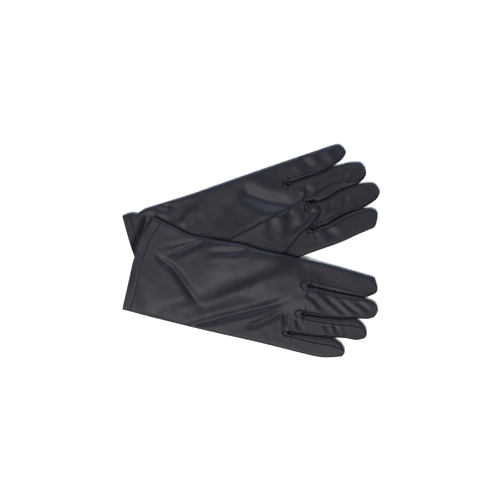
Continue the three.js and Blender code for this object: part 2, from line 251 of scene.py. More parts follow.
leftGlove = {
    "side": "left",
    "mirror": False,
    "hinges": {"index": 158, "middle": 159, "ring": 159, "pinky": 151},
    "anchors": {"index": (158, 24.985), "pinky": (151, -40.132)},
    "lines": [
        [(5.2, 45), (15.3, 42.5), (25.3, 40), (40.4, 36.3), (52, 36.2), (73, 37.2), (91, 38),
         (106, 36.6), (143, 37), (172, 37.2), (191, 36.3), (205, 35.4)],
        [(-2, 24), (75, 18.5), (140, 13.4), (150, 13.2), (159, 13.8), (182, 13.5), (200, 13.9),
         (209, 14.2)],
        [(-5.3, 0), (75, -5), (140, -13), (151, -13.1), (173, -12), (192, -9.6), (205, -6.5)],
        [(-5.6, -22), (75, -26), (140, -32.8), (152, -32.2), (172, -30.3), (188, -28.3)],
        [(-5.8, -44.9), (20.8, -45.8), (68, -47), (125, -47.3), (163, -48.4), (181, -48.4)],
    ],
    "crotches": [150, 150.5, 142.5],
    "hollows": [159.5, 159.5, 151],
    "strips": {
        "index_inner": [(150, 4.4), (158, 5.0), (172, 5.1), (190, 4.5), (208, 3.0), (216, 2.2)],
        "middle_outer": [(150, 4.2), (158, 4.4), (172, 4.1), (188, 3.9), (206, 3.0), (215, 1.4)],
        "middle_inner": [(150, 3.4), (160, 2.9), (172, 2.6), (190, 1.2), (216, 1.0)],
        "ring_outer": [(150, 3.6), (158, 3.6), (166, 4.4), (180, 4.6), (198, 6.2), (207, 6.8),
                       (215, 2.4)],
        "ring_inner": [(142, 1.6), (175, 1.0), (212, 1.0)],
        "pinky_outer": [(142, 2.6), (150, 2.8), (165, 4.8), (183, 7.2), (194, 6.4), (201, 2.2)],
    },
    "tips": {
        "index": (
            [(214, 34.6), (216.6, 31.5), (218.9, 27.5)],
            (220.2, 23.5),
            [(212.6, 15.6), (215.9, 17.7), (219.1, 20.3)],
        ),
        "middle": (
            [(214, 13.2), (218.5, 12.8), (222.5, 9.9)],
            (224.8, 5),
            [(214.3, -5.1), (219, -3.7), (223, -0.7)],
        ),
        "ring": (
            [(210, -7.6), (214, -10), (217.6, -13.6)],
            (219.4, -19),
            [(200, -26.4), (210, -25.9), (215, -24.2), (218.4, -22)],
        ),
        "pinky": (
            [(194, -29.7), (199, -32.3), (202, -36)],
            (203.1, -39.3),
            [(192, -46.3), (198, -44.4), (201.5, -43)],
        ),
    },
    "thumb": {
        "inner": [(56, 31), (64, 18), (80, 8), (108, 3), (136, -1), (156, -4.5), (161, -3), (165, 0),
                  (168, 3.5)],
        "outer": [(110, 31), (126, 31), (138, 27), (148, 21), (158, 17), (163, 14), (167, 11)],
        "end": (169, 7.5),
        "loft": 2.0,
        "radius": 2.4,
        "seamIn": 7.4,
        "groove": 0.3,
        "roll": 0.3,
        "hinge": None,
        "folds": [],
    },
    "folds": [
        {"path": [(14, 15), (16.5, 11), (21.4, 7.5), (30.5, 3.5), (39, -3), (48, -11.5), (58, -20),
                  (68, -29)],
         "depth": 2.0, "width": (1.8, 4.4), "lip": 0.05, "crisp": 1.6},
        {"path": [(64, 40.5), (59.5, 37), (49.5, 29.3), (38.5, 20.8), (30.5, 16), (24, 13)],
         "depth": 1.5, "width": (2.4, 2.8), "lip": 0.1, "crisp": 1.5},
        {"path": [(58, 37), (48, 33.3), (34, 26), (17, 18.4)],
         "depth": 0.5, "width": (1.5, 2.2), "lip": 0.2, "crisp": 1.5},
        {"path": [(60, 23), (68, 26), (76, 27.8), (87, 30.4), (97, 35.5)],
         "depth": 1.1, "width": (3.0, 3.0), "lip": 0.2},
        {"path": [(50, -50), (63, -43.5), (90, -29.5), (118, -16), (130, -9.5), (140, -2.5), (148, 5)],
         "depth": 1.6, "width": (3.0, 3.6), "lip": 0.15},
        {"path": [(24, -37), (49, -31), (62, -25), (75, -19), (87, -11), (111, 6.6), (124, 15),
                  (136, 26)],
         "depth": 0.8, "width": (5.5, 5), "lip": 0.0},
        {"path": [(108, -37), (121, -28.6), (133, -19.3), (145, -10)],
         "depth": 1.1, "width": (2.8, 3.0), "lip": 0.25},
        {"path": [(155.3, 6.8), (164.2, 3.2), (176.6, -4.7)],
         "depth": 1.0, "width": (2.2, 2.2), "lip": 0.6},
        {"path": [(174, 7.4), (184.6, 1.8), (196.4, -3.8)],
         "depth": 0.9, "width": (1.9, 1.9), "lip": 0.6},
        {"path": [(189.4, 6.4), (199.8, 2.2), (208, -1.4)],
         "depth": 0.8, "width": (1.9, 1.7), "lip": 0.5},
        {"path": [(204, 8.5), (212, 5.5), (217, 2.2)], "depth": 0.6, "width": (1.7, 1.9), "lip": 0.5},
        {"path": [(152.7, -18.6), (156, -23.4), (159.7, -27)],
         "depth": 0.8, "width": (1.6, 1.8), "lip": 0.2},
        {"path": [(141.1, -15.3), (142.9, -21.8), (143.3, -28)],
         "depth": 1.0, "width": (1.7, 1.9), "lip": 0.1},
        {"path": [(180, -17), (185.6, -25)], "depth": 0.6, "width": (1.8, 1.8), "lip": 0.5},
        {"path": [(187.5, -15.5), (194, -24.5)], "depth": 0.6, "width": (1.8, 1.8), "lip": 0.5},
        {"path": [(97, 38), (100.8, 35.6), (103.6, 33.8)],
         "depth": 0.7, "width": (1.2, 1.4), "lip": 0.4},
    ],
    "seed": 8,
}


def placeGlove(glove):  # how the glove's own frame lies on the table, from two of its hinges
    a, b = (np.array(glove["anchors"][f], float) for f in ("index", "pinky"))
    if glove["mirror"]:
        a, b = a * (1, -1), b * (1, -1)
    p, q = (np.array(joints[f"{glove['side']}_{f}_fold"]["pos_m"][:2]) / mm for f in ("index", "pinky"))
    turn = math.atan2(*(q - p)[::-1]) - math.atan2(*(b - a)[::-1])
    spin = np.array([[math.cos(turn), -math.sin(turn)], [math.sin(turn), math.cos(turn)]])
    glove["spin"], glove["shift"] = spin, p - spin @ a


def toTable(glove, xy):
    xy = xy * (1, -1) if glove["mirror"] else xy
    return xy @ glove["spin"].T + glove["shift"]


class HeightMap:  # the highest point over each cell of the table
    def __init__(self, cell=1.5, half=150):
        self.cell, self.half, self.n = cell, half, int(2 * half / cell)
        self.z = np.zeros((self.n, self.n))

    def add(self, xyz):
        i, j = (((xyz[:, k] + self.half) / self.cell).astype(int) for k in (0, 1))
        np.maximum.at(self.z, (i, j), xyz[:, 2])

    def disc(self, radius, how):
        r = int(round(radius / self.cell))
        padded, out, count = np.pad(self.z, r, mode="edge"), None, 0
        for a in range(-r, r + 1):
            for b in range(-r, r + 1):
                if a * a + b * b <= r * r:
                    part = padded[r + a:r + a + self.n, r + b:r + b + self.n]
                    out = part.copy() if out is None else how(out, part)
                    count += 1
        self.z = out / count if how is np.add else out

    def at(self, xy):
        u = np.clip((xy + self.half) / self.cell - 0.5, 0, self.n - 1.001)
        i, f = u.astype(int), u % 1
        z = self.z
        low = mix(z[i[:, 0], i[:, 1]], z[i[:, 0] + 1, i[:, 1]], f[:, 0])
        high = mix(z[i[:, 0], i[:, 1] + 1], z[i[:, 0] + 1, i[:, 1] + 1], f[:, 0])
        return mix(low, high, f[:, 1])


def drapedOn(heap, bridge, settle):  # the surface that cloth takes up over a heap
    top = HeightMap(heap.cell, heap.half)
    top.z = heap.z.copy()
    top.disc(bridge, np.maximum)
    top.disc(settle, np.add)
    return top


# A glove is a grid of lanes, one for each finger, which run from the cuff to the tips.
columnStops = {
    "gap": [0, 0.45, 1.1, 2.0, 3.0, 3.75, 4.1, 4.4, 4.6, 4.8, 5.1, 5.6, 6.5],   # from the gap, over the seam
    "fold": [0, 0.3, 0.8, 1.5, 2.4, 3.5, 4.8],                                  # from a folded edge
}
laneWidth = 22.0
openFrom = 168.0     # the fingers' own rows start here, from the cuff
rowEvery = 1.3
fineRow = 0.55       # round the crotches


def loopOpening(past):  # how far the seam has swung out from the crotch, as a share, on a round end
    t = np.clip(past / seamLook["loop"], 0, 1)
    swung = np.sqrt(1 - (1 - t) ** 2)
    return np.where(past > 0, np.maximum(swung, 0.12), 0.12 + 0.88 * ease(-2, -26, past))


def laneColumns(hasOuterGap, hasInnerGap):
    inner = columnStops["gap" if hasInnerGap else "fold"]
    outer = columnStops["gap" if hasOuterGap else "fold"]
    middle = np.linspace(inner[-1], laneWidth - outer[-1], 9)[1:-1]
    return np.concatenate([inner, middle, laneWidth - np.array(outer[::-1])]) / laneWidth


def sideCurves(glove, i):  # the outer and inner side of a finger beyond openFrom, to its very end
    name = fingerNames[i]
    outerTip, end, innerTip = glove["tips"][name]
    sides = []
    for line, tip in ((glove["lines"][i], outerTip), (glove["lines"][i + 1], innerTip)):
        dense = throughPoints(list(line) + list(tip) + [end], 600)
        start = np.interp(openFrom, dense[:, 0], np.arange(600))
        at = start + (599 - start) * (1 - (1 - np.linspace(0, 1, 46)) ** 1.5)
        sides.append(np.column_stack([np.interp(at, np.arange(600), dense[:, k]) for k in (0, 1)]))
    return sides


def laneGrid(glove, i):
    lines = [throughPoints(list(line), 600) for line in glove["lines"]]
    hem = hemLook["width"]
    hemRows = np.array([0, 0.5, 1.5, 3, 4.5, 6, 6.9, 7.2, 7.5, 7.8, 8.1, 9]) / openFrom
    finest = min(glove["crotches"]) - 2
    plainRows = np.arange(9 + rowEvery, finest, rowEvery) / openFrom
    rows = np.concatenate([hemRows, plainRows, np.arange(finest, openFrom, fineRow) / openFrom, [1.0]])
    sides = []
    for k, line in ((i, glove["lines"][i]), (i + 1, glove["lines"][i + 1])):
        x = mix(line[0][0], openFrom, rows)
        y = np.interp(x, lines[k][:, 0], lines[k][:, 1])
        sides.append(np.column_stack([x, y]))
    outerEnd, innerEnd = sideCurves(glove, i)
    outer = np.vstack([sides[0], outerEnd[1:]])
    inner = np.vstack([sides[1], innerEnd[1:]])
    x = (outer[:, 0] + inner[:, 0]) / 2
    apart = 0.06      # mm, how far each side stands off once the finger is free
    across = outer - inner
    width = np.maximum(np.linalg.norm(across, axis=1), 1e-6)
    unit = across / width[:, None]
    crotchOuter = glove["crotches"][i - 1] if i > 0 else None
    crotchInner = glove["crotches"][i] if i < 3 else None
    hollowOuter = glove["hollows"][i - 1] if i > 0 else None
    hollowInner = glove["hollows"][i] if i < 3 else None
    for hollow, side, sign in ((hollowOuter, outer, -1), (hollowInner, inner, 1)):
        if hollow is not None:
            off = apart * ease(hollow - 2, hollow + 3, x) * np.minimum(1, width / 6)
            side += sign * unit * off[:, None]
    width = np.linalg.norm(outer - inner, axis=1)
    v = np.tile(laneColumns(crotchOuter is not None, crotchInner is not None), (len(x), 1))
    seam = seamLook["widest"] / laneWidth
    grow = {}
    for key, crotch in (("inner", crotchInner), ("outer", crotchOuter)):
        if crotch is None:
            grow[key] = None
            continue
        strip = np.interp(x, *np.array(glove["strips"][f"{fingerNames[i]}_{key}"], float).T)
        ramp = (np.minimum(strip / np.maximum(width, 0.1), 0.42) / seam * loopOpening(x - crotch))[:, None]
        w = v if key == "inner" else 1 - v
        near = np.where(w <= seam, w * ramp, seam * ramp + (w - seam) * (0.5 - seam * ramp) / (0.5 - seam))
        w = np.where(w <= 0.5, near, w)
        v = w if key == "inner" else 1 - w
        grow[key] = ramp[:, 0] * seam
    xy = inner[:, None] + (outer - inner)[:, None] * v[:, :, None]
    return {
        "xy": xy,
        "v": v,
        "width": width,
        "x": x,
        "seam": grow,
        "crotch": {"inner": crotchInner, "outer": crotchOuter},
        "hollow": {"inner": hollowInner, "outer": hollowOuter},
    }


foldDepth = 1.25     # mm, for a fold of depth 1


def foldHeights(glove, xy):
    rise = np.zeros(len(xy))
    for fold in glove["folds"]:
        curve = throughPoints(fold["path"], 24)
        low, high = curve.min(0) - 25, curve.max(0) + 25
        near = np.all((xy > low) & (xy < high), axis=1)
        dist, along, side = nearestOn(curve, xy[near])
        strength = foldDepth * fold["depth"] * ease(-0.02, 0.2, along) * (1 - 0.85 * ease(0.7, 1.0, along))
        wide = mix(fold["width"][0], fold["width"][1], along)
        valley = np.exp(-((dist / wide) ** fold.get("crisp", 2)))
        lip = np.exp(-(((dist - 2.0 * wide) / (1.1 * wide)) ** 2))
        rise[near] += strength * (-valley + fold["lip"] * lip)
    return rise


def laneHeights(glove, lane):
    xy, v, width, x = lane["xy"], lane["v"], lane["width"], lane["x"]
    rows, cols = v.shape
    flat = xy.reshape(-1, 2)
    px = flat[:, 0].reshape(rows, cols)
    loft = mix(cloth["handLoft"], cloth["fingerLoft"], ease(112, 150, px))
    edge = cloth["edgeShare"] * loft
    full = np.ones((rows, cols))
    groove = np.zeros((rows, cols))
    run = np.concatenate([[0], np.cumsum(np.linalg.norm(np.diff(xy[:, cols // 2], axis=0), axis=1))])[:, None]
    for key in ("inner", "outer"):
        q = (v if key == "inner" else 1 - v) * width[:, None]
        crotch, hollow = lane["crotch"][key], lane["hollow"][key]
        if crotch is None:
            full *= rounded(q, cloth["foldRound"])
            continue
        valley = ease(hollow - 4, hollow + 1.5, px)
        full *= 1 - valley * (1 - rounded(q, cloth["gapRound"]))
        sign = 1 if key == "inner" else -1
        gapSide = xy[:, 0 if key == "inner" else -1]
        seamLine = gapSide + (xy[:, -1] - xy[:, 0]) * (lane["seam"][key] * sign)[:, None]
        past = lane["x"] > crotch
        crotchPoint = [crotch, np.interp(crotch, lane["x"], gapSide[:, 1])]
        seamLine = np.vstack([crotchPoint, seamLine[past]])
        d, _, _ = nearestOn(seamLine, flat)
        d = d.reshape(rows, cols)
        strength = np.minimum(1, width / 8)[:, None]
        wave = np.sin(2 * math.pi * run / seamLook["puckerEvery"])
        pucker = 1 + seamLook["pucker"] / seamLook["groove"] * wave
        dip = seamLook["groove"] * pucker * np.exp(-((d / seamLook["grooveWidth"]) ** 2))
        lip = seamLook["lip"] * np.exp(-(((d - 1.2) / 0.6) ** 2))
        groove += strength * (lip - dip)
    hemX = x[:, None] * 0 + (px - xy[0, :, 0][None, :])
    hem = hemLook["raise"] * (1 - ease(6.8, 7.6, hemX))
    hem -= hemLook["groove"] * np.exp(-(((hemX - hemLook["width"]) / hemLook["grooveWidth"]) ** 2))
    soft = Lumps(glove["seed"], 38)(flat).reshape(rows, cols) * 0.1
    soft += Lumps(glove["seed"] + 9, 12)(flat).reshape(rows, cols) * 0.05
    rise = foldHeights(glove, flat).reshape(rows, cols)
    pits, crinkles = np.zeros((rows, cols)), np.zeros((rows, cols))
    for c, line in zip(glove["hollows"], glove["lines"][1:4]):
        y = np.interp(c, *np.array(line, float).T)
        r2 = ((px - c) / crotchLook["long"]) ** 2 + ((xy[:, :, 1] - y) / crotchLook["wide"]) ** 2
        pits -= crotchLook["deep"] * np.exp(-r2)
        dist = np.hypot(px - c, xy[:, :, 1] - y)
        angle = np.arctan2(xy[:, :, 1] - y, px - c)
        rays = crotchLook["crinkle"] * np.sin(crotchLook["rays"] * angle + c)
        crinkles += rays * np.exp(-(((dist - 4.5) / 2.6) ** 2)) * ease(c + 5, c, px)
    bodyTop = (loft - edge) * full + (rise + soft + crinkles) * np.clip(full * 1.6 - 0.3, 0, 1)
    bodyTop += (hem + groove) * np.minimum(1, full * 2.5) + pits
    bottomDip = edge * np.sqrt(np.clip(full, 0, 1))
    under = edge - bottomDip + np.maximum(0, -groove * 0.6) * np.minimum(1, full * 2)
    top = np.maximum(edge + bodyTop, under + 0.9 * np.minimum(1, full * 3))
    return top, under


def gloveCloth(glove, ground):  # every piece of the hand and fingers as one welded surface with named faces
    points, faces, names, flatXY = [], [], [], []
    base = 0
    glove["lanes"] = []
    side = glove["side"]
    for i, finger in enumerate(fingerNames):
        lane = laneGrid(glove, i)
        top, under = laneHeights(glove, lane)
        rows, cols = top.shape
        lift = ground(lane["xy"].reshape(-1, 2)).reshape(rows, cols)
        seam = seamLook["widest"] / laneWidth
        plain = laneColumns(i > 0, i < 3)
        isInner = (plain[1:] <= seam + 1e-6) & (i < 3)
        isOuter = (1 - plain[:-1] <= seam + 1e-6) & (i > 0)
        grids = {"palm": top + lift, "back": under + lift}
        glove["lanes"].append({**lane, **grids})
        starts = {}
        for layer, z in grids.items():
            starts[layer] = base
            points.append(np.column_stack([lane["xy"].reshape(-1, 2), z.ravel()]))
            base += rows * cols
            flatXY.append(lane["xy"].reshape(-1, 2))
        x = lane["xy"][:, :, 0]
        hinge = glove["hinges"][finger]
        for r in range(rows - 1):
            for c in range(cols - 1):
                xm = x[r:r + 2, c:c + 2].mean()
                loops = lane["crotch"]
                if isInner[c] and xm > loops["inner"]:
                    kind = f"{finger}_fourchette_inner"
                elif isOuter[c] and xm > loops["outer"]:
                    kind = f"{finger}_fourchette_outer"
                else:
                    kind = None
                for layer in ("palm", "back"):
                    s = starts[layer]
                    a, b = s + r * cols + c, s + (r + 1) * cols + c
                    quad = [a, b, b + 1, a + 1]
                    if layer == "back":
                        quad.reverse()
                    if kind:
                        name = kind
                    elif r < hemLook["lastRow"]:
                        name = f"{layer}_hem"
                    elif xm > hinge - 4:
                        name = f"{finger}_{layer}"
                    else:
                        name = f"{layer}_panel"
                    faces.append(quad)
                    names.append(name)
            for key, c in (("inner", 0), ("outer", cols - 1)):   # the wall of a finger in its crotch
                hollow = lane["hollow"][key]
                if hollow is None or not hollow - 3 < x[r, c] < hollow + 4:
                    continue
                a, b = starts["palm"] + r * cols + c, starts["palm"] + (r + 1) * cols + c
                d, e = starts["back"] + r * cols + c, starts["back"] + (r + 1) * cols + c
                faces.append([a, d, e, b] if key == "inner" else [b, e, d, a])
                names.append(f"{finger}_fourchette_{key}")
    pts = np.vstack(points)
    _, first, where = np.unique(np.round(pts, 3), axis=0, return_index=True, return_inverse=True)
    where = where.reshape(-1)
    quads = where[np.array(faces)]
    return pts[first], np.vstack(flatXY)[first], quads, np.array(names)


def surfaceNormals(pts, quads):
    a, b, c, d = (pts[quads[:, k]] for k in range(4))
    n = np.cross(c - a, d - b)
    out = np.zeros_like(pts)
    for k in range(4):
        np.add.at(out, quads[:, k], n)
    return out / np.maximum(np.linalg.norm(out, axis=1), 1e-9)[:, None]


# One piece of cloth: its outer face, its inner face and the cut edge between them.
def clothPiece(name, glove, pts, flat, normals, quads, thick):
    used, local = np.unique(quads, return_inverse=True)
    local = local.reshape(quads.shape)
    n = len(used)
    xyz = pts[used]
    outN = normals[used]
    both = np.vstack([xyz, xyz - outN * thick])
    polys = []
    edges = {}
    for quad in local:
        ring = [v for k, v in enumerate(quad) if v != quad[k - 1]]
        if len(set(ring)) < 3 or len(ring) < 3:
            continue
        polys.append(ring)
        for k in range(len(ring)):
            a, b = ring[k], ring[(k + 1) % len(ring)]
            edges[(a, b)] = edges.get((a, b), 0) + 1
    outer = len(polys)
    polys += [[v + n for v in reversed(ring)] for ring in polys[:outer]]
    rim = [[b, a, a + n, b + n] for (a, b) in edges if (b, a) not in edges]
    polys += rim
    table = np.column_stack([toTable(glove, both[:, :2]), both[:, 2]]) * mm
    dirs = np.column_stack([toTable(glove, outN[:, :2]) - toTable(glove, np.zeros((n, 2))), outN[:, 2]])
    if glove["mirror"]:
        polys = [ring[::-1] for ring in polys]
    mesh = bpy.data.meshes.new(name)
    mesh.from_pydata(table.tolist(), [], polys)
    mesh.validate()
    uv = mesh.uv_layers.new(name="cut")
    flatBoth = np.vstack([flat[used], flat[used]]) / 100
    loopVerts = np.zeros(len(mesh.loops), np.int64)
    mesh.loops.foreach_get("vertex_index", loopVerts)
    uv.data.foreach_set("uv", flatBoth[loopVerts].ravel())
    mesh.polygons.foreach_set("use_smooth", [True] * len(mesh.polygons))
    vertexDirs = np.vstack([dirs, -dirs])
    loopDirs = vertexDirs[loopVerts]
    rimFlags = np.zeros(len(mesh.polygons), bool)
    rimFlags[2 * outer:] = True
    if len(mesh.polygons) == len(polys):
        for p in np.flatnonzero(rimFlags):
            poly = mesh.polygons[p]
            loopDirs[poly.loop_start:poly.loop_start + poly.loop_total] = np.array(poly.normal)
    mesh.normals_split_custom_set(loopDirs.tolist())
    obj = bpy.data.objects.new(name, mesh)
    bpy.context.scene.collection.objects.link(obj)
    a, b, c, d = (pts[quads[:, k]] for k in range(4))
    surface = float((np.linalg.norm(np.cross(c - a, d - b), axis=1) / 2).sum()) * mm * mm
    p, q = (flat[quads[:, j]] - flat[quads[:, k]] for j, k in ((2, 0), (3, 1)))
    plan = float(np.abs(p[:, 0] * q[:, 1] - p[:, 1] * q[:, 0]).sum() / 2) * mm * mm
    return obj, surface, plan


satinLook = {
    "colour": (0.0058, 0.0042, 0.0054),
    "deep": (0.0016, 0.0026, 0.0074),
    "roughness": 0.54,
    "sheen": 0.01,
    "shine": 0.27,
    "shineTint": (0.94, 0.93, 1.0),
    "weaveEvery": 0.32,     # mm between the ribs of the weave
    "weave": 0.3,
    "crinkle": 0.22,
}
threadLook = {"colour": (0.002, 0.002, 0.003), "roughness": 0.9}


def satinMaterial(name, look, paintedShade=1.0):
    mat = bpy.data.materials.new(name)
    mat.use_nodes = True
    nodes, links = mat.node_tree.nodes, mat.node_tree.links
    bsdf = nodes["Principled BSDF"]
    bsdf.inputs["Roughness"].default_value = look["roughness"]
    bsdf.inputs["Sheen Weight"].default_value = look["sheen"]
    bsdf.inputs["Sheen Roughness"].default_value = 0.35
    bsdf.inputs["Specular IOR Level"].default_value = look["shine"]
    bsdf.inputs["Specular Tint"].default_value = (*look["shineTint"], 1)
    coords = nodes.new("ShaderNodeTexCoord")
    patches = nodes.new("ShaderNodeTexNoise")       # slow change of shade over the cloth
    patches.inputs["Scale"].default_value = 20.0
    patches.inputs["Detail"].default_value = 6.0
    patches.inputs["Roughness"].default_value = 0.62
    links.new(coords.outputs["UV"], patches.inputs["Vector"])
    tone = nodes.new("ShaderNodeMix")
    tone.data_type = "RGBA"
    # the shade factor darkens this copy's colour: painted shade, for darker copies of the same satin
    tone.inputs["A"].default_value = (*[c * paintedShade for c in look["deep"]], 1)
    tone.inputs["B"].default_value = (*[c * paintedShade for c in look["colour"]], 1)
    spread = nodes.new("ShaderNodeMapRange")
    spread.inputs["From Min"].default_value = 0.25
    spread.inputs["From Max"].default_value = 0.75
    links.new(patches.outputs["Fac"], spread.inputs["Value"])
    links.new(spread.outputs["Result"], tone.inputs["Factor"])
    worn = nodes.new("ShaderNodeMapRange")          # the shine varies with the same patches
    worn.inputs["To Min"].default_value = look["roughness"] - 0.05
    worn.inputs["To Max"].default_value = look["roughness"] + 0.05
    links.new(patches.outputs["Fac"], worn.inputs["Value"])
    links.new(worn.outputs["Result"], bsdf.inputs["Roughness"])
    links.new(tone.outputs["Result"], bsdf.inputs["Base Color"])
    ribs = nodes.new("ShaderNodeTexWave")           # the fine diagonal ribs of satin
    ribs.wave_type = "BANDS"
    ribs.bands_direction = "DIAGONAL"
    ribs.inputs["Scale"].default_value = 31.4 / look["weaveEvery"]
    ribs.inputs["Distortion"].default_value = 1.2
    ribs.inputs["Detail"].default_value = 1.0
    links.new(coords.outputs["UV"], ribs.inputs["Vector"])
    crinkle = nodes.new("ShaderNodeTexNoise")
    crinkle.inputs["Scale"].default_value = 26.0
    crinkle.inputs["Detail"].default_value = 5.0
    links.new(coords.outputs["UV"], crinkle.inputs["Vector"])
    weaveBump = nodes.new("ShaderNodeBump")
    weaveBump.inputs["Strength"].default_value = look["weave"]
    weaveBump.inputs["Distance"].default_value = 0.00008
    links.new(ribs.outputs["Fac"], weaveBump.inputs["Height"])
    clothBump = nodes.new("ShaderNodeBump")
    clothBump.inputs["Strength"].default_value = look["crinkle"]
    clothBump.inputs["Distance"].default_value = 0.0006
    links.new(crinkle.outputs["Fac"], clothBump.inputs["Height"])
    links.new(weaveBump.outputs["Normal"], clothBump.inputs["Normal"])
    links.new(clothBump.outputs["Normal"], bsdf.inputs["Normal"])
    return mat


def threadMaterial(name, look):
    mat = bpy.data.materials.new(name)
    mat.use_nodes = True
    nodes, links = mat.node_tree.nodes, mat.node_tree.links
    bsdf = nodes["Principled BSDF"]
    bsdf.inputs["Base Color"].default_value = (*look["colour"], 1)
    bsdf.inputs["Roughness"].default_value = look["roughness"]
    twist = nodes.new("ShaderNodeTexNoise")
    twist.inputs["Scale"].default_value = 900.0
    bump = nodes.new("ShaderNodeBump")
    bump.inputs["Strength"].default_value = 0.4
    bump.inputs["Distance"].default_value = 0.0001
    links.new(twist.outputs["Fac"], bump.inputs["Height"])
    links.new(bump.outputs["Normal"], bsdf.inputs["Normal"])
    return mat


satin = satinMaterial("satin", satinLook)
# the fourchettes get the satin made darker: painted shade between the fingers
gussetSatinPaintedShade = satinMaterial("fourchetteSatin", satinLook, 0.92)
# the hem gets the satin made a touch darker: painted shade
hemSatin = satinMaterial("hemSatin", satinLook, 0.97)
sewingThread = threadMaterial("sewingThread", threadLook)
print("materials ready")


def pieceName(side, node):
    words = node.split("_")
    return side + "".join(w.capitalize() for w in words)


# Bakes the piece's place into its mesh; it is tied to no body.
def rideFinger(obj):
    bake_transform(obj)


def declare(obj, surface, plan, flatPts):  # works out the size that each piece was cut to; nothing keeps it
    width, length = sorted((flatPts.max(0) - flatPts.min(0)) * mm)
    area = plan
    if "Fourchette" in obj.name:     # these turn over a finger's edge, so they are measured along the cloth
        area = surface
    if "Fourchette" in obj.name or "Hem" in obj.name:     # long strips, some of them lie on a slant
        width = area / length * 1.0005


def dressGlove(glove, ground):
    side = glove["side"]
    pts, flat, quads, names = gloveCloth(glove, ground)
    normals = surfaceNormals(pts, quads)
    glove["surface"] = (pts, flat, normals)
    for kind in sorted(set(names)):
        mine = quads[names == kind]
        isHem = kind.endswith("hem")
        thick = cloth["hemThick"] if isHem else cloth["thick"]
        name = pieceName(side, kind)
        obj, surface, plan = clothPiece(name, glove, pts, flat, normals, mine, thick)
        isGusset = "fourchette" in kind
        # fourchettes and hem take darker copies of the satin: painted shade
        obj.data.materials.append(gussetSatinPaintedShade if isGusset else hemSatin if isHem else satin)
        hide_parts(f"{side}_{kind}")
        finger = kind.split("_")[0]
        if finger in fingerNames:
            rideFinger(obj)
        else:
            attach(obj, f"{side}_hand")
        declare(obj, surface, plan, flat[np.unique(mine)])
    print(side, "glove cloth ready:", len(pts), "points")


# A flat tube ruled between its two edges, from the hand to its tip.
def thumbCloth(glove, ground, rows=84, cols=19):
    t = glove["thumb"]
    along = 1 - (1 - np.linspace(0, 1, rows)) ** 1.35
    edges = []
    for side in (t["inner"], t["outer"]):
        dense = throughPoints(list(side) + [t["end"]], 400)
        edges.append(np.column_stack([np.interp(along * 399, np.arange(400), dense[:, k]) for k in (0, 1)]))
    across = 0.5 - 0.5 * np.cos(math.pi * np.linspace(0, 1, cols))
    xy = edges[0][:, None] + (edges[1] - edges[0])[:, None] * across[None, :, None]
    flat = xy.reshape(-1, 2)
    width = np.linalg.norm(edges[1] - edges[0], axis=1)[:, None]
    q = np.minimum(across, 1 - across)[None, :] * width
    full = rounded(q, np.minimum(t["radius"], width * 0.5 + 0.01))
    outline = throughPoints(list(t["outer"])[2:] + [t["end"]] + list(t["inner"])[:4:-1], 60)
    dist, share, _ = nearestOn(outline, flat)
    dist, share = dist.reshape(rows, cols), share.reshape(rows, cols)
    sewn = ease(0.0, 0.15, share) * (1 - ease(0.93, 0.99, share))
    roll = t["roll"] * np.exp(-(((dist - 3.6) / 2.2) ** 2))
    seam = sewn * (roll - t["groove"] * np.exp(-(((dist - t["seamIn"]) / 1.6) ** 2)))
    rise = foldHeights({"folds": t["folds"]}, flat).reshape(rows, cols)
    soft = Lumps(glove["seed"] + 4, 26)(flat).reshape(rows, cols) * 0.1
    edge = 0.35 * t["loft"]
    rest = ground(flat).reshape(rows, cols) + 0.25
    swell = mix(0.3, 1.0, ease(62, 104, xy[:, :, 0]))
    marks = (seam + rise + soft) * np.clip(2 * full - 0.4, 0, 1)
    upper = rest + edge + np.maximum((t["loft"] - edge) * full * swell + marks, -0.2 * full)
    lower = rest + edge - edge * full
    pts, faces, names = [], [], []
    for layer, z in (("upper", upper), ("lower", lower)):
        pts.append(np.column_stack([flat, z.ravel()]))
        start = 0 if layer == "upper" else rows * cols
        for r in range(rows - 1):
            for c in range(cols - 1):
                a = start + r * cols + c
                quad = [a, a + 1, a + cols + 1, a + cols]
                if layer == "upper":
                    quad.reverse()
                xm = xy[r:r + 2, c:c + 2, 0].mean()
                part = "" if t["hinge"] is None else "tip_" if xm > t["hinge"] - 3 else "base_"
                faces.append(quad)
                names.append(f"thumb_{part}{layer}")
    pts = np.vstack(pts)
    _, first, where = np.unique(np.round(pts, 3), axis=0, return_index=True, return_inverse=True)
    quads = where.reshape(-1)[np.array(faces)]
    return pts[first], np.vstack([flat, flat])[first], quads, np.array(names), upper, xy


def dressThumb(glove, ground):
    side = glove["side"]
    pts, flat, quads, names, upper, xy = thumbCloth(glove, ground)
    normals = surfaceNormals(pts, quads)
    for kind in sorted(set(names)):
        mine = quads[names == kind]
        name = pieceName(side, kind)
        obj, surface, plan = clothPiece(name, glove, pts, flat, normals, mine, cloth["thick"])
        obj.data.materials.append(satin)
        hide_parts(f"{side}_{kind}")
        if "tip" in kind:
            rideFinger(obj)
        else:
            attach(obj, f"{side}_hand")
        declare(obj, surface, plan, flat[np.unique(mine)])
    return np.column_stack([toTable(glove, xy.reshape(-1, 2)), upper.ravel()])


threadSize = {"thick": 0.8, "stitch": 2.1, "every": 2.9, "sides": 6}
# along a stitch: how far and how thick, both as shares, and how deep it dips into the cloth
stitchShape = [(0, 0.35, 0.3), (0.14, 0.9, 0.04), (0.5, 1, 0), (0.86, 0.9, 0.04), (1, 0.35, 0.3)]


